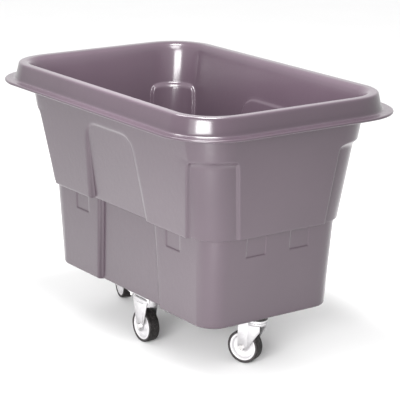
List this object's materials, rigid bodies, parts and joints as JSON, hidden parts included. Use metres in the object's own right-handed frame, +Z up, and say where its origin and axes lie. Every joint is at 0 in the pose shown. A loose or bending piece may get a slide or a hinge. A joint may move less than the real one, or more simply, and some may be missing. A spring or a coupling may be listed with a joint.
{
  "type": "laundry cart",
  "caption": "Moulded plastic laundry cart: deep tapered open tub with a turned-down rim, rolling on swivel and rigid plate casters.",
  "frame": {"origin": "on the floor under the middle of the tub", "axes": "+X along the tub's length, towards the front swivel caster; +Z up"},
  "size_m": [1.156, 0.79, 0.82],
  "materials": {
    "tub_plastic": "satin moulded polyethylene",
    "tyre_rubber": "matt rubber",
    "hub_plastic": "satin moulded nylon",
    "pad_plastic": "matt",
    "caster_zinc": "bright zinc plate",
    "fastener_zinc": "bright zinc plate",
    "bearing_steel": "ground steel"
  },
  "bodies": {
    "root": {"tub": "tub_plastic", "front_top_plate": "caster_zinc", "front_kingpin": "fastener_zinc", "front_kingpin_nut": "fastener_zinc", "front_lower_race": "bearing_steel", "front_mounting_pad": "pad_plastic", "front_mounting_bolts": "fastener_zinc", "front_mounting_washers": "fastener_zinc", "front_mounting_nuts": "fastener_zinc", "rear_top_plate": "caster_zinc", "rear_kingpin": "fastener_zinc", "rear_kingpin_nut": "fastener_zinc", "rear_lower_race": "bearing_steel", "rear_mounting_pad": "pad_plastic", "rear_mounting_bolts": "fastener_zinc", "rear_mounting_washers": "fastener_zinc", "rear_mounting_nuts": "fastener_zinc", "left_caster_frame": "caster_zinc", "left_mounting_pad": "pad_plastic", "left_mounting_bolts": "fastener_zinc", "left_mounting_washers": "fastener_zinc", "left_mounting_nuts": "fastener_zinc", "left_axle_bolt": "fastener_zinc", "left_axle_nut": "fastener_zinc", "left_axle_sleeve": "bearing_steel", "right_caster_frame": "caster_zinc", "right_mounting_pad": "pad_plastic", "right_mounting_bolts": "fastener_zinc", "right_mounting_washers": "fastener_zinc", "right_mounting_nuts": "fastener_zinc", "right_axle_bolt": "fastener_zinc", "right_axle_nut": "fastener_zinc", "right_axle_sleeve": "bearing_steel"},
    "front_swivel": {"front_fork": "caster_zinc", "front_dust_ring": "pad_plastic", "front_upper_balls": "bearing_steel", "front_lower_balls": "bearing_steel", "front_axle_bolt": "fastener_zinc", "front_axle_nut": "fastener_zinc", "front_axle_sleeve": "bearing_steel"},
    "front_wheel": {"front_hub": "hub_plastic", "front_tyre": "tyre_rubber", "front_wheel_bearings": "bearing_steel"},
    "rear_swivel": {"rear_fork": "caster_zinc", "rear_dust_ring": "pad_plastic", "rear_upper_balls": "bearing_steel", "rear_lower_balls": "bearing_steel", "rear_axle_bolt": "fastener_zinc", "rear_axle_nut": "fastener_zinc", "rear_axle_sleeve": "bearing_steel"},
    "rear_wheel": {"rear_hub": "hub_plastic", "rear_tyre": "tyre_rubber", "rear_wheel_bearings": "bearing_steel"},
    "left_wheel": {"left_hub": "hub_plastic", "left_tyre": "tyre_rubber", "left_wheel_bearings": "bearing_steel"},
    "right_wheel": {"right_hub": "hub_plastic", "right_tyre": "tyre_rubber", "right_wheel_bearings": "bearing_steel"}
  },
  "joints": [
    {"name": "front_swivel_turn", "type": "hinge", "parent": "root", "child": "front_swivel", "pos_m": [0.35, 0, 0.14], "axis": [0, 0, 1], "continuous": true},
    {"name": "front_wheel_spin", "type": "hinge", "parent": "front_swivel", "child": "front_wheel", "pos_m": [0.31346, -0.01627, 0.051], "axis": [-0.4067, 0.9135, 0], "continuous": true},
    {"name": "rear_swivel_turn", "type": "hinge", "parent": "root", "child": "rear_swivel", "pos_m": [-0.35, 0, 0.14], "axis": [0, 0, 1], "continuous": true},
    {"name": "rear_wheel_spin", "type": "hinge", "parent": "rear_swivel", "child": "rear_wheel", "pos_m": [-0.38864, 0.01035, 0.051], "axis": [0.2588, 0.9659, 0], "continuous": true},
    {"name": "left_wheel_spin", "type": "hinge", "parent": "root", "child": "left_wheel", "pos_m": [0, 0.164, 0.051], "axis": [0, 1, 0], "continuous": true},
    {"name": "right_wheel_spin", "type": "hinge", "parent": "root", "child": "right_wheel", "pos_m": [0, -0.164, 0.051], "axis": [0, 1, 0], "continuous": true}
  ]
}
